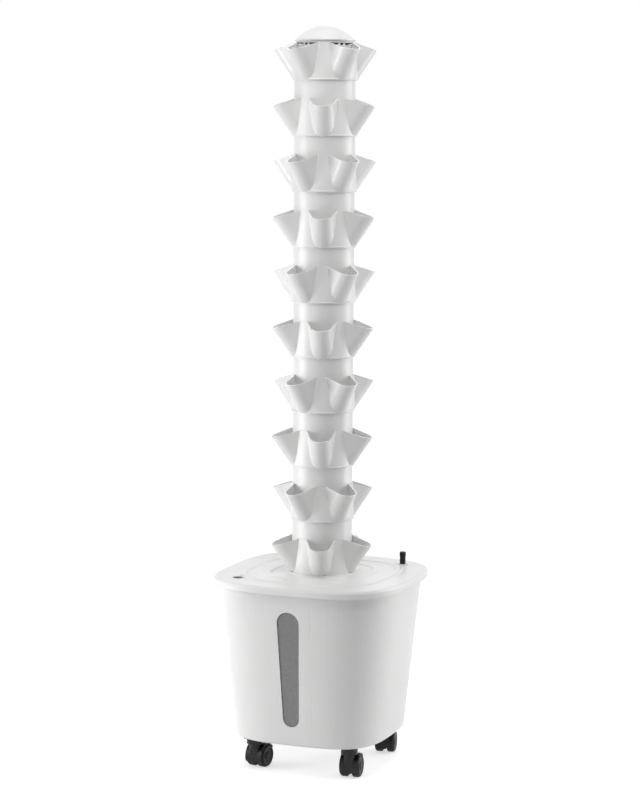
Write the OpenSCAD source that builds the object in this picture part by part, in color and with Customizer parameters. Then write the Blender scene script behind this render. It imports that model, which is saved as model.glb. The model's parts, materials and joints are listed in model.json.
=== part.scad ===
// Tiered hydroponic tower: a wheeled water tank, a lid, and a column of planter
// rings and sleeves that a pump feeds through a riser pipe. Millimetres, +Z up,
// origin on the floor under the column's axis. The tank's sight window faces -Y.

/* [Column] */
// Outside diameter of the sleeves between the planter rings
tube_d = 125; // [115:1:135]
// Wall of the sleeves
tube_wall = 2.5; // [2:0.1:3.5]
// Length of one sleeve
sleeve_len = 76.7; // [70:0.1:95]
// Height of the shelf in a ring that rests on the sleeve below
shelf_z = 8; // [6:0.5:12]
// Thickness of that shelf
shelf_t = 3; // [2:0.5:4]
// Reach of that shelf inside the sleeve's wall
shelf_reach = 4; // [3:0.5:6]
// Height in a ring of the lugs that carry the sleeve above
lug_z = 44; // [38:0.5:50]

/* [Planter ring] */
// Height of the crests between the pockets
crest_z = 75.5; // [70:0.5:80]
// Reach of the ring's bottom edge beyond the sleeve's surface
skirt_out = 4.5; // [4.5:0.5:6.5]
// Reach of the crests between the pockets beyond the sleeve's surface
crest_out = 2.5; // [2.5:0.5:4]
// Height of the plain band at the ring's bottom edge
skirt_h = 4; // [3:0.5:8]
// Reach of a pocket's tip beyond the sleeve's surface
tip_out = 46.5; // [40:0.5:51]
// Height of a pocket's tip
tip_z = 60; // [56:0.5:63]
// Lean of the pockets from upright, in degrees
lean = 35; // [32:0.5:38]
// Radius of a pocket's rounded outer wall
pocket_r = 23.4; // [20:0.2:25]
// Flare of each pocket side towards the column, in degrees
flare = 12.7; // [9:0.1:15]
// Wall of the pockets
pocket_wall = 2.3; // [1.8:0.1:3]

/* [Drip holes] */
// Diameter of the drip holes in a sleeve
drip_d = 4; // [3:0.5:5]
// Height of the drip holes over a sleeve's lower edge
drip_z = 8.5; // [7:0.5:12]
// Distance between the two drip holes over one pocket
drip_gap = 11.6; // [9:0.2:14]

/* [Cap] */
// Rise of the dome cap over its rim
dome_rise = 34; // [26:1:40]
// Wall of the dome cap
dome_wall = 2.2; // [1.8:0.1:3]
// Height of the distributor's teeth
tooth_h = 5; // [4:0.5:9]

/* [Riser] */
// Outside diameter of the riser pipe
riser_d = 20; // [18:1:22]
// Wall of the riser pipe
riser_wall = 2; // [1.5:0.1:2.5]
// Length of a coupling on the riser pipe
coupling_len = 40; // [30:1:50]
// Wall of a coupling
coupling_wall = 2.5; // [2:0.1:3]

/* [Tank] */
// Half width of the tank at its top
tank_top = 192.5; // [187:0.5:194]
// Half width of the tank at its floor
tank_base = 160; // [154:0.5:165]
// Height of the tank
tank_h = 332; // [300:1:360]
// Wall of the tank
tank_wall = 3.5; // [2.5:0.5:4.5]
// Radius of the tank's lower edge, as a rise
base_edge = 6; // [5:1:12]

/* [Lid] */
// Overhang of the lid beyond the tank's wall
lid_over = 11; // [10:0.5:13]
// Depth of the lid's rim
lid_rim = 15.6; // [12:0.2:20]
// Thickness of the lid's plate
lid_t = 3.2; // [2.5:0.1:4]
// Diameter of the filling hole
fill_d = 24; // [20:1:30]
// Distance of the filling hole and the cable outlet from the lid's edges
corner_in = 71.5; // [68:0.5:78]

/* [Sight window] */
// Width of the window at its top
window_top_w = 48; // [40:1:52]
// Width of the window at its bottom
window_low_w = 35; // [28:1:38]
// Length of the window
window_len = 243; // [200:1:250]
// Height of the window's lower end over the tank's floor
window_low = 41; // [34:1:46]

/* [Casters] */
// Height of a caster
caster_h = 69; // [67:0.5:75]
// Diameter of the wheels
wheel_d = 48; // [44:1:50]
// Width of one wheel
wheel_w = 17; // [14:0.5:19]
// Gap between the twin wheels
wheel_gap = 9; // [9:0.5:12]
// Distance of the wheels behind the swivel axis
trail = 18; // [14:1:20]
// Distance of each caster's axis from the tank's lower edges
caster_in = 55; // [50:1:60]
// Side of the square caster plate
plate_w = 38; // [37.5:0.5:42]

/* [Pump] */
// Width of the pump
pump_w = 46; // [42:1:54]
// Height of the pump's housing
pump_h = 44; // [42:1:50]
// Radius of the pump chamber
chamber_r = 17; // [15:0.5:18]

/* [Hidden] */

$fn = 96;

// One overrun serves every cut
over = 1;
// Gap between pieces that slip into each other
slip = 0.4;
// Gap between pieces that rest on each other and lift apart
rest_gap = 0.2;
// Radial gap of a shaft in its bearing
running = 0.05;

// Counts
ring_count = 10;
pocket_count = 5;
step_turn = 360 / pocket_count;
half_turn = step_turn / 2;
first_turn = 1;

// Column
tube_r = tube_d / 2;
tube_bore = tube_r - tube_wall;
skirt_r = tube_r + skirt_out;
crest_r = tube_r + crest_out;
tip_r = tube_r + tip_out;
lug_reach = 5;
lug_w = 12;
lug_h = 14;
socket_r = tube_r + slip;
shelf_r = tube_bore - shelf_reach;
ring_floor = shelf_z + shelf_t;
pitch = lug_z + sleeve_len - shelf_z;
edge_soft = 1;

// Pocket sections
pocket_in = pocket_r - pocket_wall;
side_inset = 0.1;
pocket_sill = 1;
pocket_depth = tip_r - tube_r / 2;
pocket_below = 2 * tip_z;
pocket_above = crest_z;
pocket_root = tube_r - 2 * lug_reach;
crest_half = 8.4;
corner_reach = crest_r * cos(half_turn - crest_half);
rim_rise = (crest_z - tip_z) / (tip_r - corner_reach);

// Sleeve tray
tray_t = 2.5;
collar_h = 14;
collar_wall = 3;
pipe_hole_r = riser_d / 2 + slip;
collar_r = pipe_hole_r + collar_wall;

// Heights over the floor
pad_drop = 1;
tank_z = caster_h + pad_drop;
tank_top_z = tank_z + tank_h;
lid_z = tank_top_z + rest_gap;
lid_top_z = lid_z + lid_t;
column_z = lid_top_z;
top_ring_z = column_z + (ring_count - 1) * pitch;

// Lid
lid_half = tank_top + lid_over;
corner_at = lid_half - corner_in;
lid_wall = 3;
lid_edge = 5;
lid_inner = lid_half - lid_wall;
squircle_n = 3.35;
squircle_points = 96;
band_w = 18;
band_h = 2.4;
band_soft = 4;
seat_r = skirt_r + slip + edge_soft;
seat_w = 7;
band_gap = 18.6;
inner_band = seat_r + seat_w + band_gap + band_w / 2;
band_in = 54.5;
outer_band = lid_half - band_in;
seat_h = 2.6;
spigot_h = shelf_z - rest_gap / 2;
drain_r = 7;
drain_ring = 40;
drain_count = 8;
key_w = 5;
key_h = 9;
key_gap = 1.6;
key_at = tank_top - tank_wall - key_gap;
hole_rim = 5;

// Tank
pad_h = 9;
pad_w = plate_w + 2 * pad_drop;
lip_reach = 5;
tank_lip = tank_top + lip_reach;
tank_lip_h = 6;
floor_t = 4;
draft = atan((tank_top - tank_base) / tank_h);
window_sink = 1.6;
window_seat = 0.3;
window_flange = 7;
window_t = 2;
gasket_t = 1.2;
wall_line_h = 0.2;
wall_line_w = 0.8;
line_at = 44.3;
line_lean = 0.5;
tick_count = 3;
tick_w = 16;
tick_low = 41;
tick_gap = 37;

// Cable outlet
outlet_r = 7;
grommet_wall = 2;
grommet_lip = 2.5;
grommet_lip_h = 1.6;
outlet_seat_h = 1;
outlet_seat_r = outlet_r + grommet_wall + grommet_lip + edge_soft / 2;
socket_body_r = 6.2;
socket_up = 28;
socket_down = 10;
jack_r = 2.8;
jack_depth = 9.5;
jack_pin_r = 1;

// Casters
wheel_r = wheel_d / 2;
plate_t = 3;
cup_h = 14.5;
cup_r = 17.5;
cup_soft = 1.5;
plate_hole = 2.1;
plate_soft = 5;
plate_rim = 4;
plate_pitch = plate_w - 2 * plate_rim;
hood_gap = 0.8;
hood_t = 1.6;
hood_r = wheel_r + hood_gap + hood_t;
hood_inset = 2.5;
hood_w = 2 * (wheel_w - hood_inset) + wheel_gap;
web_gap = 0.8;
web_t = wheel_gap - 2 * web_gap;
neck_r = 11.5;
king_r = 4;
king_len = 8;
axle_r = 3;
hub_cap_r = 9;
hub_cap_t = 1.6;
tyre_soft = 5;
axle_z = wheel_r;
plate_bottom = caster_h - plate_t;
cup_bottom = plate_bottom - cup_h;
hood_top = cup_bottom - rest_gap * 2;
hood_low = 13;
web_low = 10;
caster_at = tank_base - caster_in;
caster_x = [-caster_at, caster_at, caster_at, -caster_at];
caster_y = [-caster_at, -caster_at, caster_at, caster_at];
caster_turn = [81, 96, 101, 88];
screw_head_r = 3.2;
screw_head_h = 2;
screw_len = 9;

// Pump
pump_floor = tank_z + floor_t;
foot_h = 7;
foot_r = 8;
foot_neck = 4;
pump_z = pump_floor + foot_h;
pump_axis = pump_z + pump_h / 2;
chamber_l = 14;
cover_t = 5;
pump_front = -8;
chamber_back = pump_front + chamber_l;
motor_l = 34;
pump_back = chamber_back + motor_l;
well_r = 9.2;
well_l = 28;
rotor_r = 8.5;
vane_r = 15.5;
vane_t = 2;
vane_count = 4;
shaft_r = 1.5;
shaft_end = 4;
spout_r = riser_d / 2 - riser_wall - running;
spout_bore = 5;
spout_h = 18;
slot_count = 7;
slot_w = 2.5;
slot_len = 22;

// Riser
riser_bore = riser_d / 2 - riser_wall;
riser_z = pump_z + pump_h + rest_gap;
riser_rise = 22;
riser_end = top_ring_z + lug_z + riser_rise;
mid_gap = lug_z + (collar_h + pitch) / 2;
riser_joints = [riser_z, column_z + pitch + mid_gap, column_z + 5 * pitch + mid_gap, riser_end];

// Distributor and dome
post_rise = 4;
post_top = crest_z + post_rise;
dist_inset = 0.8;
dist_r = tube_r - dist_inset;
dist_wall = 2.2;
dist_floor = 2.2;
wall_drop = 5;
wall_top = post_top - tooth_h - wall_drop;
tooth_w = 8;
post_w = 13;
dome_z = top_ring_z + post_top + rest_gap;
dome_ball = (tube_r * tube_r + dome_rise * dome_rise) / (2 * dome_rise);
dome_rim_h = 2.4;
dome_key_h = 5;
dome_key_t = 1.8;

module copies_round(count) {
    for (i = [0 : count - 1]) rotate(i * 360 / count) children();
}

// Superellipse outline of half width a
function squircle(a) = [
    for (i = [0 : squircle_points - 1])
        let (t = i * 360 / squircle_points, c = cos(t), s = sin(t))
        [a * sign(c) * pow(abs(c), 2 / squircle_n), a * sign(s) * pow(abs(s), 2 / squircle_n)]
];

// One closed solid through a list of [height, half width] sections
module loft(sections) {
    m = squircle_points;
    k = len(sections);
    points = [for (s = sections) for (p = squircle(s[1])) [p[0], p[1], s[0]]];
    sides = [
        for (j = [0 : k - 2]) for (i = [0 : m - 1])
            let (a = j * m + i, b = j * m + (i + 1) % m)
            each [[a, b + m, b], [a, a + m, b + m]]
    ];
    low = [[for (i = [0 : m - 1]) i]];
    high = [[for (i = [m - 1 : -1 : 0]) (k - 1) * m + i]];
    polyhedron(points, concat(low, sides, high));
}

module box_at(x, y, z, w, d, h) {
    translate([x - w / 2, y - d / 2, z]) cube([w, d, h]);
}

module tube(r, bore, h) {
    difference() {
        cylinder(r = r, h = h);
        translate([0, 0, -over]) cylinder(r = bore, h = h + 2 * over);
    }
}

// Section of a pocket across its lean, with its tip at the origin
module pocket_section(r) {
    side = pocket_depth - pocket_r;
    tangent_x = (r - side_inset) * sin(flare) - pocket_r;
    tangent_y = (r - side_inset) * cos(flare);
    inner_y = tangent_y + side * tan(flare);
    translate([-pocket_r, 0]) circle(r = r);
    polygon([
        [tangent_x, tangent_y], [tangent_x - side, inner_y],
        [tangent_x - side, -inner_y], [tangent_x, -tangent_y]
    ]);
}

// Side view of the space between two heights under a pocket's sloping rim
module under_rim(low, root, raise) {
    rotate([90, 0, 0]) translate([0, 0, -tip_r]) linear_extrude(height = 2 * tip_r) polygon([
        [root, low], [tip_r + over, low], [tip_r + over, tip_z + raise - over * rim_rise],
        [root, tip_z + raise + (tip_r - root) * rim_rise]
    ]);
}

module pocket_prism(r) {
    translate([tip_r, 0, tip_z]) rotate([0, lean, 0])
        translate([0, 0, -pocket_below])
            linear_extrude(height = pocket_below + pocket_above) pocket_section(r);
}

module pocket_body() {
    intersection() {
        pocket_prism(pocket_r);
        under_rim(0, pocket_root, 0);
    }
}

module pocket_hollow() {
    intersection() {
        pocket_prism(pocket_in);
        under_rim(ring_floor + pocket_sill, pocket_root - over, crest_z - tip_z);
    }
}

module ring_wall() {
    rotate_extrude() polygon([
        [0, 0], [skirt_r - edge_soft, 0], [skirt_r, edge_soft],
        [skirt_r, skirt_h - edge_soft], [skirt_r - edge_soft, skirt_h],
        [crest_r, crest_z], [0, crest_z]
    ]);
}

module sleeve_lug() {
    rotate([90, 0, 0]) translate([0, 0, -lug_w / 2]) linear_extrude(height = lug_w) polygon([
        [tube_r + tube_wall / 2, lug_z - lug_h], [tube_r - lug_reach, lug_z - lug_reach],
        [tube_r - lug_reach, lug_z], [tube_r + tube_wall / 2, lug_z]
    ]);
}

module planter_ring(index) {
    turn = first_turn + ((index % 2 == 1) ? half_turn : 0);
    color("white") translate([0, 0, column_z + (ring_count - index) * pitch]) rotate(turn) {
        difference() {
            union() {
                ring_wall();
                copies_round(pocket_count) pocket_body();
            }
            translate([0, 0, -over]) cylinder(r = socket_r, h = shelf_z + over);
            translate([0, 0, ring_floor]) cylinder(r = socket_r, h = 2 * crest_z);
            translate([0, 0, -over]) cylinder(r = shelf_r, h = 2 * crest_z);
            copies_round(pocket_count) pocket_hollow();
        }
        rotate(half_turn) copies_round(pocket_count) sleeve_lug();
    }
}

module sleeve(index) {
    turn = first_turn + ((index % 2 == 0) ? half_turn : 0);
    color("white") translate([0, 0, column_z + (ring_count - index - 1) * pitch + lug_z])
        rotate(turn) difference() {
            union() {
                tube(tube_r, tube_bore, sleeve_len);
                cylinder(r = tube_bore + tube_wall / 2, h = tray_t);
                cylinder(r = collar_r, h = collar_h);
            }
            translate([0, 0, -over]) cylinder(r = pipe_hole_r, h = collar_h + 2 * over);
            copies_round(pocket_count) for (side = [-1, 1])
                translate([0, side * drip_gap / 2, drip_z]) rotate([0, 90, 0])
                    cylinder(d = drip_d, h = tube_d, $fn = 24);
        }
}

module tooth() {
    rotate([90, 0, 0]) rotate([0, 90, 0])
        translate([0, 0, dist_r - 2 * dist_wall]) linear_extrude(height = 3 * dist_wall)
            polygon([[-tooth_w / 2, wall_top - over], [0, wall_top + tooth_h],
                [tooth_w / 2, wall_top - over]]);
}

module water_distributor() {
    color("white") translate([0, 0, top_ring_z]) rotate(first_turn + half_turn) {
        difference() {
            union() {
                translate([0, 0, lug_z]) cylinder(r = dist_r, h = dist_floor);
                translate([0, 0, lug_z]) cylinder(r = collar_r, h = collar_h);
            }
            translate([0, 0, lug_z - over]) cylinder(r = pipe_hole_r, h = collar_h + 2 * over);
        }
        difference() {
            translate([0, 0, lug_z]) tube(dist_r, dist_r - dist_wall, wall_top - lug_z);
            copies_round(pocket_count) for (side = [-1, 1])
                translate([0, side * drip_gap / 2, lug_z + drip_z]) rotate([0, 90, 0])
                    cylinder(d = drip_d, h = tube_d, $fn = 24);
        }
        intersection() {
            translate([0, 0, lug_z]) tube(dist_r, dist_r - dist_wall, post_top - lug_z);
            union() {
                rotate(half_turn) copies_round(pocket_count)
                    box_at(tube_r, 0, wall_top - over, tube_r, post_w, tooth_h + 2 * over);
                copies_round(pocket_count) for (side = [-1, 1])
                    rotate(side * asin(drip_gap / 2 / dist_r)) tooth();
            }
        }
    }
}

module dome_cap() {
    color("white") translate([0, 0, dome_z]) {
        difference() {
            union() {
                intersection() {
                    translate([0, 0, dome_rise - dome_ball]) sphere(r = dome_ball, $fn = 128);
                    cylinder(r = tube_r, h = dome_rise + over);
                }
                translate([0, 0, -rest_gap / 2]) cylinder(r = tube_r, h = dome_rim_h);
            }
            intersection() {
                translate([0, 0, dome_rise - dome_ball]) sphere(r = dome_ball - dome_wall, $fn = 128);
                translate([0, 0, dome_rim_h]) cylinder(r = tube_r, h = dome_rise);
            }
            translate([0, 0, -over]) cylinder(r = dist_r - dist_wall - slip, h = dome_rim_h + 2 * over);
        }
        translate([0, 0, -dome_key_h]) tube(
            dist_r - dist_wall - slip, dist_r - dist_wall - slip - dome_key_t, dome_key_h + dome_rim_h
        );
    }
}

module riser_pipe(index) {
    low = riser_joints[index - 1];
    color("gainsboro") translate([0, 0, low])
        tube(riser_d / 2, riser_bore, riser_joints[index] - low);
}

module riser_coupling(index) {
    color("gainsboro") translate([0, 0, riser_joints[index] - coupling_len / 2])
        tube(riser_d / 2 + coupling_wall, riser_d / 2, coupling_len);
}

// Outline of the sight window on its slanting wall, grown by g
module window_outline(g) {
    r_top = window_top_w / 2;
    r_low = window_low_w / 2;
    span = window_len - r_top - r_low;
    slope = asin((r_top - r_low) / span);
    side_low = r_low + g - side_inset;
    side_top = r_top + g - side_inset;
    translate([0, r_low]) {
        circle(r = r_low + g);
        translate([0, span]) circle(r = r_top + g);
        polygon([
            [side_low * cos(slope), -side_low * sin(slope)],
            [side_top * cos(slope), span - side_top * sin(slope)],
            [-side_top * cos(slope), span - side_top * sin(slope)],
            [-side_low * cos(slope), -side_low * sin(slope)]
        ]);
    }
}

// Places a flat piece on the front wall: local Z is the wall's outward normal
module on_front_wall(depth) {
    translate([0, -tank_base, tank_z]) rotate([90 + draft, 0, 0])
        translate([0, window_low / cos(draft), depth]) children();
}

// Half width of the tank at a height over the floor
function tank_at(z) = tank_base + (z - tank_z) * (tank_top - tank_base) / tank_h;

module tank_shell() {
    lip_z = tank_top_z - tank_lip_h;
    inner_z = tank_z + floor_t;
    thick = tank_wall / cos(draft);
    difference() {
        loft([
            [tank_z, tank_base - base_edge * 3 / 4],
            [tank_z + base_edge / 8, tank_base - base_edge * 3 / 8],
            [tank_z + base_edge / 2, tank_base - base_edge / 12],
            [tank_z + base_edge, tank_at(tank_z + base_edge)],
            [lip_z - tank_lip_h / 2, tank_at(lip_z - tank_lip_h / 2)],
            [lip_z, tank_lip],
            [tank_top_z, tank_lip]
        ]);
        loft([
            [inner_z, tank_at(inner_z) - thick - base_edge / 2],
            [inner_z + base_edge / 2, tank_at(inner_z + base_edge / 2) - thick],
            [tank_top_z + over, tank_at(tank_top_z + over) - thick]
        ]);
    }
}

// Moulded line and marks beside the window, as a low relief on the wall
module wall_scale() {
    low = tank_z + base_edge;
    high = tank_top_z - 2 * tank_lip_h;
    intersection() {
        loft([[low, tank_at(low) + wall_line_h], [high, tank_at(high) + wall_line_h]]);
        on_front_wall(-tank_wall / 2) translate([line_at, 0, 0]) rotate(-line_lean) {
            translate([0, -window_low, 0]) cube([wall_line_w, tank_h, tank_wall]);
            for (i = [0 : tick_count - 1]) translate([-tick_w, tick_low + i * tick_gap, 0])
                cube([tick_w + wall_line_w / 2, wall_line_w, tank_wall]);
        }
    }
}

module tank() {
    color("white") difference() {
        union() {
            tank_shell();
            for (i = [0 : 3]) {
                box_at(caster_x[i], caster_y[i], tank_z + floor_t / 2, plate_w, plate_w, pad_h - floor_t / 2);
                box_at(caster_x[i], caster_y[i], caster_h, pad_w, pad_w, pad_drop + floor_t / 2);
            }
            wall_scale();
        }
        on_front_wall(-tank_wall - over) linear_extrude(height = tank_wall + 3 * over) window_outline(0);
        for (i = [0 : 3]) translate([caster_x[i], caster_y[i], caster_h - over])
            for (sx = [-1, 1], sy = [-1, 1])
                translate([sx * plate_pitch / 2, sy * plate_pitch / 2, 0])
                    cylinder(r = plate_hole, h = pad_h - floor_t / 2 + over, $fn = 24);
    }
}

module window_gasket() {
    color("dimgray") on_front_wall(-tank_wall - gasket_t - window_seat)
        linear_extrude(height = gasket_t) difference() {
            window_outline(window_flange);
            window_outline(-edge_soft);
        }
}

module sight_window() {
    color([0.5, 0.51, 0.52]) {
        on_front_wall(-tank_wall - gasket_t - window_t - window_seat)
            linear_extrude(height = window_t) window_outline(window_flange);
        on_front_wall(-tank_wall - gasket_t - window_t - window_seat)
            linear_extrude(height = window_t + gasket_t + window_seat + tank_wall - window_sink)
                window_outline(-edge_soft - slip);
    }
}

// Rounded square raised band on the lid
module lid_band(half) {
    difference() {
        loft([
            [lid_top_z - over, half + band_w / 2], [lid_top_z, half + band_w / 2],
            [lid_top_z + band_h, half + band_w / 2 - band_soft]
        ]);
        loft([
            [lid_top_z - 2 * over, half - band_w / 2], [lid_top_z, half - band_w / 2],
            [lid_top_z + band_h + over, half - band_w / 2 + band_soft * (band_h + over) / band_h]
        ]);
        for (s = [-1, 1]) translate([s * corner_at, s * corner_at, lid_top_z - 2 * over])
            cylinder(r = fill_d / 2 + hole_rim, h = band_h + 4 * over);
    }
}

module tank_lid() {
    low = lid_top_z - lid_rim;
    color("white") difference() {
        union() {
            difference() {
                loft([
                    [low, lid_half - edge_soft], [low + edge_soft, lid_half],
                    [lid_top_z - lid_edge, lid_half],
                    [lid_top_z - lid_edge / 3, lid_half - lid_edge / 3],
                    [lid_top_z, lid_half - lid_edge]
                ]);
                loft([[low - over, lid_inner], [lid_z, lid_inner]]);
            }
            difference() {
                loft([[lid_z - key_h, key_at - edge_soft], [lid_z + lid_t / 2, key_at]]);
                loft([[lid_z - key_h - over, key_at - key_w], [lid_z + lid_t, key_at - key_w]]);
            }
            lid_band(inner_band);
            lid_band(outer_band);
            translate([0, 0, lid_top_z - over]) difference() {
                cylinder(r1 = seat_r + seat_w, r2 = seat_r + seat_w / 3, h = seat_h + over);
                translate([0, 0, -over]) cylinder(r = seat_r, h = seat_h + 3 * over);
            }
            translate([0, 0, lid_z + lid_t / 2])
                cylinder(r = tube_r, h = lid_t / 2 + spigot_h);
            translate([corner_at, corner_at, lid_z + lid_t / 2])
                cylinder(r = outlet_seat_r, h = lid_t / 2 + outlet_seat_h);
        }
        difference() {
            translate([0, 0, lid_top_z]) cylinder(r = tube_bore, h = spigot_h + over);
            translate([0, 0, lid_z]) cylinder(r = collar_r, h = lid_t + spigot_h);
        }
        translate([0, 0, lid_z - over]) cylinder(r = pipe_hole_r, h = lid_t + spigot_h + 2 * over);
        copies_round(drain_count) translate([drain_ring, 0, lid_z - over])
            cylinder(r = drain_r, h = lid_t + 2 * over);
        translate([-corner_at, -corner_at, lid_z - over])
            cylinder(d = fill_d, h = lid_t + 2 * over);
        translate([corner_at, corner_at, lid_z - over])
            cylinder(r = outlet_r + grommet_wall, h = lid_t + outlet_seat_h + 2 * over);
    }
}

module cable_grommet() {
    groove_r = outlet_r + grommet_wall - running;
    groove_h = lid_t + outlet_seat_h;
    color([0.9, 0.9, 0.9]) translate([corner_at, corner_at, lid_z]) difference() {
        union() {
            cylinder(r = groove_r, h = groove_h);
            translate([0, 0, groove_h]) cylinder(r = groove_r + grommet_lip, h = grommet_lip_h);
            translate([0, 0, -grommet_lip_h]) cylinder(r = groove_r + grommet_lip, h = grommet_lip_h);
        }
        translate([0, 0, -grommet_lip_h - over])
            cylinder(r = socket_body_r + running, h = groove_h + 2 * grommet_lip_h + 2 * over);
    }
}

module power_socket() {
    head_h = socket_up / 3;
    color([0.08, 0.08, 0.08]) translate([corner_at, corner_at, lid_top_z]) {
        difference() {
            union() {
                translate([0, 0, -socket_down]) cylinder(r = socket_body_r, h = socket_up + socket_down);
                translate([0, 0, socket_up - head_h]) cylinder(r = socket_body_r + edge_soft / 2, h = head_h);
            }
            translate([0, 0, socket_up - jack_depth]) cylinder(r = jack_r, h = jack_depth + over);
        }
        translate([0, 0, socket_up - jack_depth - over])
            cylinder(r = jack_pin_r, h = jack_depth, $fn = 24);
    }
}

module pump_rib() {
    front = riser_d / 2 + over;
    back = pump_back - 2 * over;
    box_at(0, (front + back) / 2, pump_z + pump_h - over, pump_w / 2, back - front, 2 * over);
}

module along_pump(y) {
    translate([0, y, pump_axis]) rotate([-90, 0, 0]) children();
}

module pump_housing() {
    color([0.13, 0.13, 0.14]) difference() {
        union() {
            box_at(0, (pump_front + pump_back) / 2, pump_z, pump_w, pump_back - pump_front, pump_h);
            pump_rib();
            translate([0, 0, pump_z + pump_h - over]) cylinder(r = spout_r, h = spout_h + over);
        }
        along_pump(pump_front - over) cylinder(r = chamber_r, h = chamber_l + over);
        along_pump(pump_front) cylinder(r = well_r, h = chamber_l + well_l);
        along_pump(pump_front) cylinder(r = shaft_r + running, h = chamber_l + well_l + shaft_end);
        translate([0, 0, pump_axis]) cylinder(r = spout_bore, h = pump_h / 2 + spout_h + over);
    }
}

module pump_cover() {
    color([0.13, 0.13, 0.14]) difference() {
        box_at(0, pump_front - cover_t / 2 - rest_gap / 4, pump_z, pump_w, cover_t - rest_gap / 2, pump_h);
        for (i = [0 : slot_count - 1]) if (i != (slot_count - 1) / 2)
            box_at(
                (i - (slot_count - 1) / 2) * 2 * slot_w, pump_front - cover_t / 2,
                pump_axis - slot_len / 2, slot_w, cover_t + 2 * over, slot_len
            );
        along_pump(pump_front - shaft_end + over) cylinder(r = shaft_r + running, h = shaft_end + over);
    }
}

module pump_impeller() {
    hub_y = pump_front + 2 * vane_t;
    disc_y = chamber_back - 2 * vane_t;
    color("royalblue") difference() {
        union() {
            along_pump(chamber_back + vane_t / 2) cylinder(r = rotor_r, h = well_l - vane_t);
            along_pump(disc_y) cylinder(r = vane_r, h = vane_t);
            along_pump(disc_y) cylinder(r = rotor_r / 2, h = 3 * vane_t);
            along_pump(hub_y) {
                cylinder(r = rotor_r / 2, h = disc_y - hub_y);
                copies_round(vane_count) translate([0, -vane_t / 2, 0])
                    cube([vane_r - edge_soft, vane_t, disc_y + vane_t / 2 - hub_y]);
            }
        }
        along_pump(pump_front) cylinder(r = shaft_r + running, h = chamber_l + well_l + over);
    }
}

module pump_shaft() {
    color("silver") along_pump(pump_front - shaft_end + over + rest_gap)
        cylinder(r = shaft_r, h = chamber_l + well_l + 2 * shaft_end - over - 2 * rest_gap, $fn = 32);
}

module pump_feet() {
    mid = (pump_front + pump_back) / 2;
    color([0.2, 0.2, 0.2]) for (sx = [-1, 1], sy = [-1, 1])
        translate([
            sx * (pump_w / 2 - foot_r), mid + sy * ((pump_back - pump_front) / 2 - foot_r), pump_floor
        ]) {
            cylinder(r1 = foot_r, r2 = foot_neck, h = foot_h / 2);
            cylinder(r = foot_neck, h = foot_h);
        }
}

// Frame of one caster: on the floor under its swivel axis, the wheels behind along +X
module at_caster(i) {
    translate([caster_x[i - 1], caster_y[i - 1], 0]) rotate(caster_turn[i - 1]) children();
}

module caster_plate(i) {
    color([0.1, 0.1, 0.1]) translate([caster_x[i - 1], caster_y[i - 1], 0]) {
        difference() {
            translate([0, 0, plate_bottom]) linear_extrude(height = plate_t)
                offset(plate_soft) square(plate_w - 2 * plate_soft, center = true);
            for (sx = [-1, 1], sy = [-1, 1])
                translate([sx * plate_pitch / 2, sy * plate_pitch / 2, plate_bottom - over])
                    cylinder(r = plate_hole, h = plate_t + 2 * over, $fn = 24);
        }
        rotate_extrude() polygon([
            [0, cup_bottom], [cup_r - cup_soft, cup_bottom], [cup_r, cup_bottom + cup_soft],
            [cup_r, plate_bottom + plate_t / 2], [0, plate_bottom + plate_t / 2]
        ]);
        translate([0, 0, cup_bottom - king_len]) cylinder(r = king_r, h = king_len + over, $fn = 48);
    }
}

module caster_hood(i) {
    color([0.1, 0.1, 0.1]) at_caster(i) difference() {
        union() {
            intersection() {
                translate([trail, 0, axle_z]) rotate([90, 0, 0]) translate([0, 0, -hood_w / 2])
                    tube(hood_r, hood_r - hood_t, hood_w);
                union() {
                    box_at(trail - hood_r, 0, hood_low, 2 * hood_r, hood_w, hood_r + axle_z);
                    box_at(trail, 0, axle_z + hood_r / 2, 2 * hood_r, hood_w, hood_r);
                }
            }
            intersection() {
                translate([trail, 0, axle_z]) rotate([90, 0, 0]) translate([0, 0, -web_t / 2])
                    cylinder(r = hood_r - hood_t / 2, h = web_t);
                box_at(trail, 0, web_low, 3 * hood_r, web_t, hood_r + axle_z);
            }
            intersection() {
                rotate([90, 0, 0]) translate([0, 0, -neck_r]) linear_extrude(height = 2 * neck_r) polygon([
                    [-neck_r, hood_top], [neck_r, hood_top], [trail, axle_z + hood_r - hood_t / 2],
                    [trail - hood_r + hood_t / 2, axle_z]
                ]);
                union() {
                    cylinder(r = neck_r, h = hood_top);
                    box_at(trail, 0, 0, 2 * trail, 2 * neck_r, hood_top);
                }
            }
        }
        translate([0, 0, cup_bottom - king_len - slip])
            cylinder(r = king_r + running, h = king_len + caster_h, $fn = 48);
        translate([trail, 0, axle_z]) rotate([90, 0, 0]) translate([0, 0, -web_t])
            cylinder(r = axle_r, h = 2 * web_t, $fn = 48);
        for (s = [-1, 1]) translate([trail, s * (wheel_gap + wheel_w) / 2, axle_z])
            rotate([90, 0, 0]) translate([0, 0, -wheel_w / 2 - slip])
                cylinder(r = wheel_r + hood_gap, h = wheel_w + 2 * slip);
    }
}

module caster_axle(i) {
    length = 2 * (wheel_w - hub_cap_t - rest_gap) + wheel_gap;
    color("silver") at_caster(i) translate([trail, 0, axle_z]) rotate([90, 0, 0])
        translate([0, 0, -length / 2]) cylinder(r = axle_r, h = length, $fn = 48);
}

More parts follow.
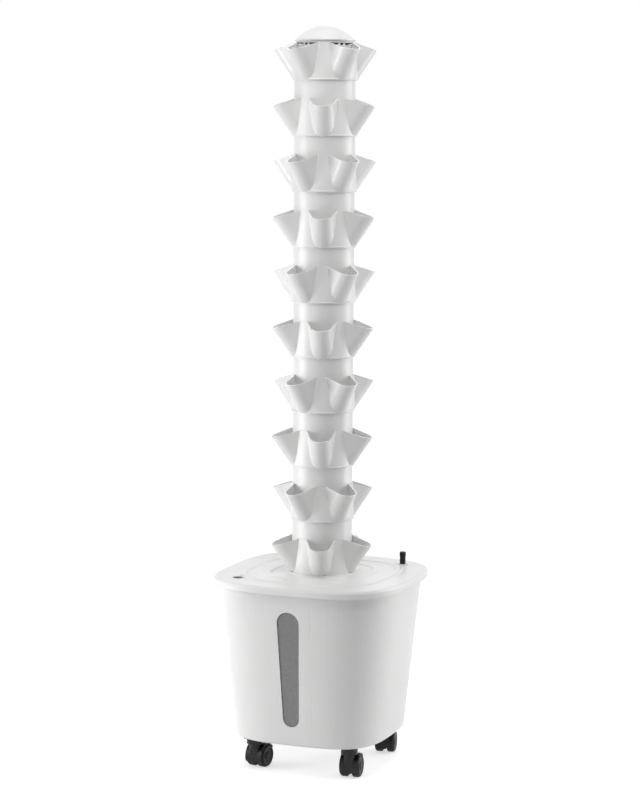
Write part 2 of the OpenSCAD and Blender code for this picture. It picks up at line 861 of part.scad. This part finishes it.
module caster_wheel(i, side) {
    color([0.12, 0.12, 0.12]) at_caster(i)
        translate([trail, side * wheel_gap / 2, axle_z]) rotate([-side * 90, 0, 0]) difference() {
            rotate_extrude() polygon([
                [0, 0], [wheel_r - tyre_soft / 2, 0], [wheel_r, tyre_soft / 2],
                [wheel_r, wheel_w - tyre_soft], [wheel_r - tyre_soft / 3, wheel_w - tyre_soft / 3],
                [wheel_r - tyre_soft, wheel_w], [wheel_r - 2 * tyre_soft, wheel_w - hub_cap_t],
                [hub_cap_r, wheel_w - hub_cap_t], [hub_cap_r - hub_cap_t, wheel_w], [0, wheel_w]
            ]);
            translate([0, 0, -over]) cylinder(r = axle_r + running, h = wheel_w - hub_cap_t + over, $fn = 48);
        }
}

module caster_screws() {
    color("silver") for (i = [0 : 3], sx = [-1, 1], sy = [-1, 1])
        translate([
            caster_x[i] + sx * plate_pitch / 2, caster_y[i] + sy * plate_pitch / 2,
            plate_bottom - screw_head_h
        ]) {
            cylinder(r = screw_head_r, h = screw_head_h, $fn = 32);
            cylinder(r = plate_hole - running, h = screw_head_h + screw_len, $fn = 24);
        }
}

tank();
sight_window();
window_gasket();
tank_lid();
cable_grommet();
power_socket();
for (i = [1 : 10]) planter_ring(i);
for (i = [1 : 9]) sleeve(i);
dome_cap();
water_distributor();
for (i = [1 : 3]) riser_pipe(i);
for (i = [1 : 2]) riser_coupling(i);
pump_housing();
pump_cover();
pump_impeller();
pump_shaft();
pump_feet();
for (i = [1 : 4]) {
    caster_plate(i);
    caster_hood(i);
    caster_axle(i);
    caster_wheel(i, 1);
    caster_wheel(i, -1);
}
caster_screws();
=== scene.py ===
import json
import math

import bpy
from mathutils import Matrix, Vector

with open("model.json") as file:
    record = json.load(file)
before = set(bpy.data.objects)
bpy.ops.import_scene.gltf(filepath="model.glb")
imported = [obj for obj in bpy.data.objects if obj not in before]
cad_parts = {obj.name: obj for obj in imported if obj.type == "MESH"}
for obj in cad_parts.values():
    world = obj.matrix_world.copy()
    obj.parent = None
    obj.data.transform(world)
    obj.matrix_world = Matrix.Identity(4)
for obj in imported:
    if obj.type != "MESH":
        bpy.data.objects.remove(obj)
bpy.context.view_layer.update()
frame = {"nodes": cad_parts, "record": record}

nodes = frame["nodes"]

# Finish of the moulded plastics, by material slot
# tone: darkest and lightest base colour; rough: least and most roughness
# grain: grains a metre; grain_depth and wave_depth: heights in metres
# coat and gloss: weight of a clear coat, and strength of the mirrored light

PLASTICS = {
    "white_gloss": dict(
        tone=((0.79, 0.79, 0.785), (0.82, 0.82, 0.815)), rough=(0.3, 0.38),
        grain=1400.0, grain_depth=0.00006, wave_depth=0.0006,
    ),
    "tank_white": dict(
        tone=((0.80, 0.80, 0.795), (0.83, 0.83, 0.825)), rough=(0.3, 0.4),
        grain=1100.0, grain_depth=0.00009, wave_depth=0.0009,
    ),
    "pipe_white": dict(
        tone=((0.7, 0.71, 0.71), (0.76, 0.77, 0.77)), rough=(0.38, 0.5),
        grain=900.0, grain_depth=0.00008,
    ),
    "window_grey": dict(
        tone=((0.205, 0.205, 0.205), (0.22, 0.22, 0.22)), rough=(0.26, 0.29),
        grain=1300.0, grain_depth=0.00001,
    ),
    "caster_black": dict(
        tone=((0.008, 0.008, 0.009), (0.014, 0.014, 0.015)), rough=(0.24, 0.34),
        grain=1200.0, grain_depth=0.00006, wave_depth=0.0003, coat=0.05, gloss=0.25,
    ),
    "black_plastic": dict(
        tone=((0.009, 0.009, 0.01), (0.016, 0.016, 0.017)), rough=(0.4, 0.52),
        grain=900.0, grain_depth=0.00008, gloss=0.22,
    ),
    "wheel_black": dict(
        tone=((0.008, 0.008, 0.009), (0.014, 0.014, 0.015)), rough=(0.38, 0.48),
        grain=800.0, grain_depth=0.00008, gloss=0.2,
    ),
    "soft_rubber": dict(
        tone=((0.018, 0.018, 0.018), (0.03, 0.03, 0.03)), rough=(0.62, 0.78),
        grain=700.0, grain_depth=0.00015, gloss=0.2,
    ),
    "rotor_blue": dict(
        tone=((0.05, 0.12, 0.3), (0.07, 0.16, 0.38)), rough=(0.35, 0.45),
        grain=900.0, grain_depth=0.00006,
    ),
}
TONE_SCALE = 9.0
TONE_DETAIL = 4.0
ROUGH_SCALE = 60.0
ROUGH_DETAIL = 5.0
ROUGH_HARSHNESS = 0.65
GRAIN_DETAIL = 2.0
GRAIN_STRENGTH = 0.35
WAVE_SCALE = 14.0
WAVE_DETAIL = 2.0
WAVE_STRENGTH = 0.5
COAT_ROUGHNESS = 0.2
PLAIN_GLOSS = 0.5

# Brushed steel of the axles and the pump's shaft, and the casters' screws in steel painted near black:
# painted shade under the caster plates, which hides their steel reflection

STEELS = {
    "steel": ((0.49, 0.49, 0.51), (0.6, 0.6, 0.62)),
    # near-black steel: painted shade for the casters' screws, darkened so they show no reflection under
    # the plates
    "steel_painted_dark_as_shade": ((0.03, 0.03, 0.032), (0.05, 0.05, 0.052)),
}
# nodes whose steel is painted near black as painted shade
NODES_PAINTED_DARK_AS_SHADE = ("caster_screws",)
STEEL_ROUGH = (0.22, 0.34)
BRUSH_SCALE = 300.0
BRUSH_DETAIL = 6.0
BRUSH_HARSHNESS = 0.7
BRUSH_STRETCH = (1, 1, 6)
BRUSH_STRENGTH = 0.2
BRUSH_DEPTH = 0.00005

# A noise runs from 0 to 1, but nearly all of it lies between the low and the high value
NOISE_LOW = 0.3
NOISE_HIGH = 0.7
EVEN_HARSHNESS = 0.5
UNSTRETCHED = (1, 1, 1)

# Faces that meet at a wider angle than this keep their edge
SHARP_FROM = math.radians(25)

# Camera, on the side and at the height the photograph was taken from
# lengths in metres, angles in radians, lens and sensor in millimetres

VIEW_TURN = math.radians(21.63)
CAMERA_FAR = 4.7413
CAMERA_HEIGHT = 1.3219
PITCH = math.radians(6.7028)
ROLL = math.radians(-0.3634)
YAW = 0.00124
LENS = 103.815
SENSOR = 36.0
SEES_TO = 60.0

# Floor, which glows more where the lights no longer reach it and so stays white to its edge

FLOOR_REACH = 12.0
FLOOR_TONE = 0.8
GLOW_NEAR = 0.6
GLOW_FAR = 0.93
GLOW_RISES_FROM = 2.0
GLOW_RISES_TO = 4.5

# World, as the camera sees it and as it lights the object

WORLD_SEEN = 1.0
WORLD_LIGHT = 0.2
WHITE = (1, 1, 1, 1)

# Each light: its angle in degrees from the camera's side, its distance and its height,
# the height on the column that it is aimed at, its width, its own height and its power

LIGHTS = {
    "left_box": (-85, 2.4, 0.65, 0.4, 1.4, 1.3, 38.0),
    "right_box": (105, 2.4, 0.95, 0.6, 1.4, 1.9, 31.0),
    "front_box": (5, 1.1, 2.5, 1.0, 1.5, 1.5, 20.0),
    "back_box": (180, 2.6, 2.2, 0.7, 1.6, 1.6, 11.0),
    "overhead_box": (0, 0.2, 6.0, 0.0, 3.0, 3.0, 41.0),
}


def new_material(name):
    mat = bpy.data.materials.new(name)
    mat.use_nodes = True
    tree = mat.node_tree
    shader = tree.nodes["Principled BSDF"]
    coords = tree.nodes.new("ShaderNodeTexCoord")
    return mat, tree, shader, coords


def noise(tree, coords, scale, detail, harshness=EVEN_HARSHNESS, stretch=UNSTRETCHED):
    mapping = tree.nodes.new("ShaderNodeMapping")
    mapping.inputs["Scale"].default_value = stretch
    tree.links.new(coords.outputs["Object"], mapping.inputs["Vector"])
    node = tree.nodes.new("ShaderNodeTexNoise")
    node.inputs["Scale"].default_value = scale
    node.inputs["Detail"].default_value = detail
    node.inputs["Roughness"].default_value = harshness
    tree.links.new(mapping.outputs["Vector"], node.inputs["Vector"])
    return node.outputs["Fac"]


def between_colours(tree, value, dark, light):
    node = tree.nodes.new("ShaderNodeValToRGB")
    stops = ((NOISE_LOW, dark), (NOISE_HIGH, light))
    for element, (place, colour) in zip(node.color_ramp.elements, stops):
        element.position = place
        element.color = (*colour, 1)
    tree.links.new(value, node.inputs["Fac"])
    return node.outputs["Color"]


def between_numbers(tree, value, low, high):
    node = tree.nodes.new("ShaderNodeMapRange")
    node.inputs["From Min"].default_value = NOISE_LOW
    node.inputs["From Max"].default_value = NOISE_HIGH
    node.inputs["To Min"].default_value = low
    node.inputs["To Max"].default_value = high
    tree.links.new(value, node.inputs["Value"])
    return node.outputs["Result"]


def bump(tree, value, strength, distance, under=None):
    node = tree.nodes.new("ShaderNodeBump")
    node.inputs["Strength"].default_value = strength
    node.inputs["Distance"].default_value = distance
    tree.links.new(value, node.inputs["Height"])
    if under is not None:
        tree.links.new(under, node.inputs["Normal"])
    return node.outputs["Normal"]


def plastic(name, tone, rough, grain, grain_depth, wave_depth=0.0, coat=0.0, gloss=PLAIN_GLOSS):
    mat, tree, shader, coords = new_material(name)
    colour = between_colours(tree, noise(tree, coords, TONE_SCALE, TONE_DETAIL), *tone)
    tree.links.new(colour, shader.inputs["Base Color"])
    patches = noise(tree, coords, ROUGH_SCALE, ROUGH_DETAIL, ROUGH_HARSHNESS)
    tree.links.new(between_numbers(tree, patches, *rough), shader.inputs["Roughness"])
    grains = noise(tree, coords, grain, GRAIN_DETAIL)
    normal = bump(tree, grains, GRAIN_STRENGTH, grain_depth)
    if wave_depth:
        waves = noise(tree, coords, WAVE_SCALE, WAVE_DETAIL)
        normal = bump(tree, waves, WAVE_STRENGTH, wave_depth, normal)
    tree.links.new(normal, shader.inputs["Normal"])
    shader.inputs["Coat Weight"].default_value = coat
    shader.inputs["Coat Roughness"].default_value = COAT_ROUGHNESS
    shader.inputs["Specular IOR Level"].default_value = gloss
    return mat


def brushed_steel(name, dark, light):
    mat, tree, shader, coords = new_material(name)
    brushed = noise(tree, coords, BRUSH_SCALE, BRUSH_DETAIL, BRUSH_HARSHNESS, BRUSH_STRETCH)
    tree.links.new(between_colours(tree, brushed, dark, light), shader.inputs["Base Color"])
    tree.links.new(between_numbers(tree, brushed, *STEEL_ROUGH), shader.inputs["Roughness"])
    tree.links.new(bump(tree, brushed, BRUSH_STRENGTH, BRUSH_DEPTH), shader.inputs["Normal"])
    shader.inputs["Metallic"].default_value = 1.0
    return mat


def dress_nodes():
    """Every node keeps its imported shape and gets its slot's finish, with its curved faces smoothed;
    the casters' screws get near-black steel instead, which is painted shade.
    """
    finish = {slot: plastic(slot, **values) for slot, values in PLASTICS.items()}
    finish.update({name: brushed_steel(name, *tones) for name, tones in STEELS.items()})
    slot_of = {part["node"]: part["material_slot"] for part in frame["record"]["subparts"]}
    for name, obj in nodes.items():
        # the casters' screws take the near-black steel, which is painted shade
        slot = "steel_painted_dark_as_shade" if name in NODES_PAINTED_DARK_AS_SHADE else slot_of[name]
        obj.data.materials.clear()
        obj.data.materials.append(finish[slot])
        obj.data.shade_smooth()
        obj.data.set_sharp_from_angle(angle=SHARP_FROM)


def seen_or_mirrored(tree, shown, lighting, out):
    """Camera rays, by gloss or glass too, get the shown shader, and all others the lighting one."""
    path = tree.nodes.new("ShaderNodeLightPath")
    seen = path.outputs["Is Camera Ray"]
    for kind in ("Is Glossy Ray", "Is Transmission Ray"):
        either = tree.nodes.new("ShaderNodeMath")
        either.operation = "MAXIMUM"
        tree.links.new(seen, either.inputs[0])
        tree.links.new(path.outputs[kind], either.inputs[1])
        seen = either.outputs["Value"]
    mix = tree.nodes.new("ShaderNodeMixShader")
    tree.links.new(seen, mix.inputs["Fac"])
    tree.links.new(lighting, mix.inputs[1])
    tree.links.new(shown, mix.inputs[2])
    tree.links.new(mix.outputs["Shader"], out)


def glow_by_distance(tree):
    """The floor's glow, by the distance from the column."""
    coords = tree.nodes.new("ShaderNodeTexCoord")
    length = tree.nodes.new("ShaderNodeVectorMath")
    length.operation = "LENGTH"
    tree.links.new(coords.outputs["Object"], length.inputs[0])
    rise = tree.nodes.new("ShaderNodeMapRange")
    rise.inputs["From Min"].default_value = GLOW_RISES_FROM
    rise.inputs["From Max"].default_value = GLOW_RISES_TO
    rise.inputs["To Min"].default_value = GLOW_NEAR
    rise.inputs["To Max"].default_value = GLOW_FAR
    tree.links.new(length.outputs["Value"], rise.inputs["Value"])
    return rise.outputs["Result"]


def make_floor():
    mesh = bpy.data.meshes.new("floor")
    corners = [(x * FLOOR_REACH, y * FLOOR_REACH, 0) for x, y in ((-1, -1), (1, -1), (1, 1), (-1, 1))]
    mesh.from_pydata(corners, [], [(0, 1, 2, 3)])
    floor = bpy.data.objects.new("floor", mesh)
    bpy.context.scene.collection.objects.link(floor)
    mat = bpy.data.materials.new("floor_pale")
    mat.use_nodes = True
    tree = mat.node_tree
    tree.nodes.clear()
    out = tree.nodes.new("ShaderNodeOutputMaterial")
    diffuse = tree.nodes.new("ShaderNodeBsdfDiffuse")
    diffuse.inputs["Color"].default_value = (FLOOR_TONE, FLOOR_TONE, FLOOR_TONE, 1)
    glow = tree.nodes.new("ShaderNodeEmission")
    tree.links.new(glow_by_distance(tree), glow.inputs["Strength"])
    both = tree.nodes.new("ShaderNodeAddShader")
    tree.links.new(diffuse.outputs["BSDF"], both.inputs[0])
    tree.links.new(glow.outputs["Emission"], both.inputs[1])
    seen_or_mirrored(tree, both.outputs["Shader"], diffuse.outputs["BSDF"], out.inputs["Surface"])
    mesh.materials.append(mat)


def make_world():
    world = bpy.data.worlds.new("studio")
    bpy.context.scene.world = world
    world.use_nodes = True
    tree = world.node_tree
    tree.nodes.clear()
    out = tree.nodes.new("ShaderNodeOutputWorld")
    skies = []
    for strength in (WORLD_SEEN, WORLD_LIGHT):
        sky = tree.nodes.new("ShaderNodeBackground")
        sky.inputs["Color"].default_value = WHITE
        sky.inputs["Strength"].default_value = strength
        skies.append(sky.outputs["Background"])
    seen_or_mirrored(tree, skies[0], skies[1], out.inputs["Surface"])


def round_column(angle, far, height):
    """A place round the column, the angle in degrees counted from the camera's side, to the right."""
    turn = VIEW_TURN + math.radians(angle)
    return (far * math.sin(turn), -far * math.cos(turn), height)


def make_camera():
    cam = bpy.data.cameras.new("camera")
    cam.sensor_fit = "VERTICAL"
    cam.sensor_height = SENSOR
    cam.sensor_width = SENSOR
    cam.lens = LENS
    cam.clip_end = SEES_TO
    obj = bpy.data.objects.new("camera", cam)
    bpy.context.scene.collection.objects.link(obj)
    turn = VIEW_TURN + YAW
    level = math.cos(PITCH)
    ahead = Vector((-math.sin(turn) * level, math.cos(turn) * level, -math.sin(PITCH)))
    right = Vector((math.cos(turn), math.sin(turn), 0))
    up = right.cross(ahead)
    spin = Matrix.Rotation(ROLL, 3, ahead)
    basis = Matrix((spin @ right, spin @ up, -ahead)).transposed().to_4x4()
    obj.matrix_world = Matrix.Translation(round_column(0, CAMERA_FAR, CAMERA_HEIGHT)) @ basis
    bpy.context.scene.camera = obj


def make_light(name, angle, far, height, aimed_at, wide, tall, power):
    light = bpy.data.lights.new(name, "AREA")
    light.shape = "RECTANGLE"
    light.size = wide
    light.size_y = tall
    light.energy = power
    obj = bpy.data.objects.new(name, light)
    bpy.context.scene.collection.objects.link(obj)
    place = Vector(round_column(angle, far, height))
    aim = (Vector((0, 0, aimed_at)) - place).to_track_quat("-Z", "Y")
    obj.matrix_world = Matrix.Translation(place) @ aim.to_matrix().to_4x4()


dress_nodes()
make_floor()
make_world()
make_camera()
for name, values in LIGHTS.items():
    make_light(name, *values)
bpy.context.scene.view_settings.view_transform = "Standard"
